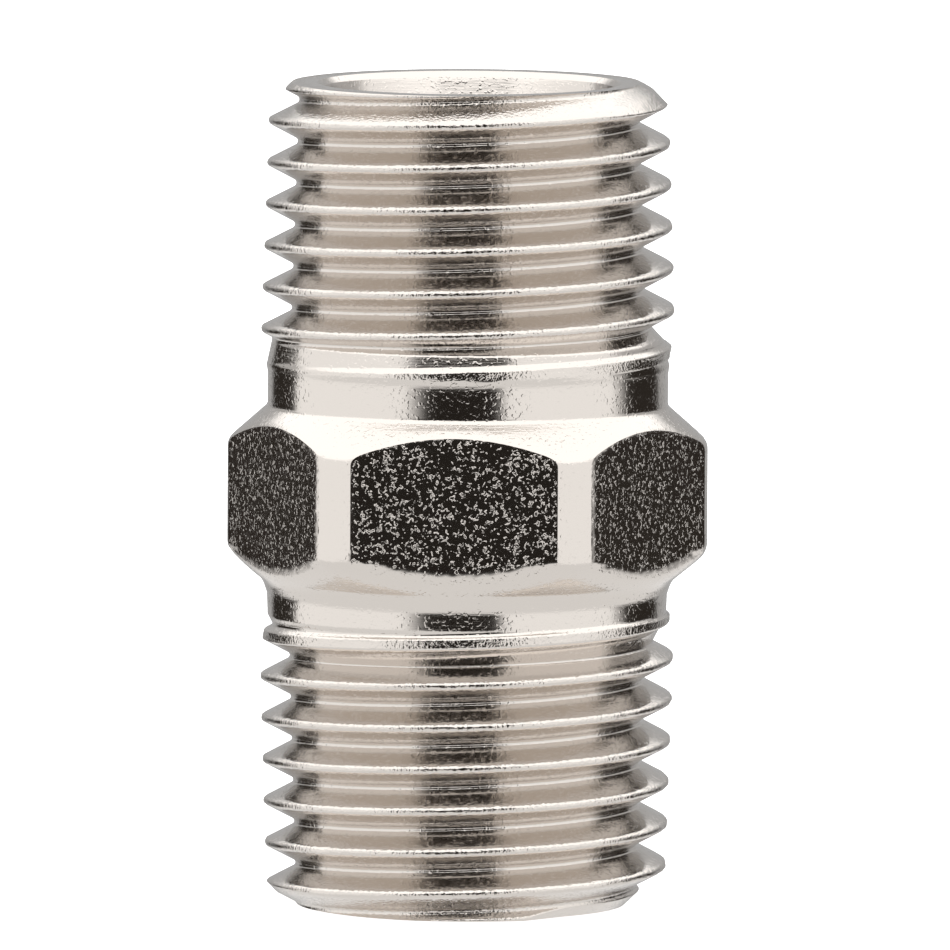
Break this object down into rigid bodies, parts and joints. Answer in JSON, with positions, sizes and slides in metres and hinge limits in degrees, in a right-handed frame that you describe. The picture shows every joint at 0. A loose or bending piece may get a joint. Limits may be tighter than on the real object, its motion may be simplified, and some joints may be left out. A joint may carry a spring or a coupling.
{
  "type": "hex nipple",
  "caption": "Hexagon nipple with a taper pipe thread on each end, a hexagon spanner collar between them and a bore right through.",
  "frame": {"origin": "centre of the lower end face", "axes": "+Z along the bore, from the lower thread to the upper one; one flat of the hexagon faces -Y"},
  "size_m": [0.0154, 0.0138, 0.0264],
  "materials": {
    "nickel_plate": "nickel-plated brass: smooth turned threads and necks, rough stock skin on the six flats"
  },
  "bodies": {
    "root": {"nipple_body": "nickel_plate"}
  },
  "joints": []
}
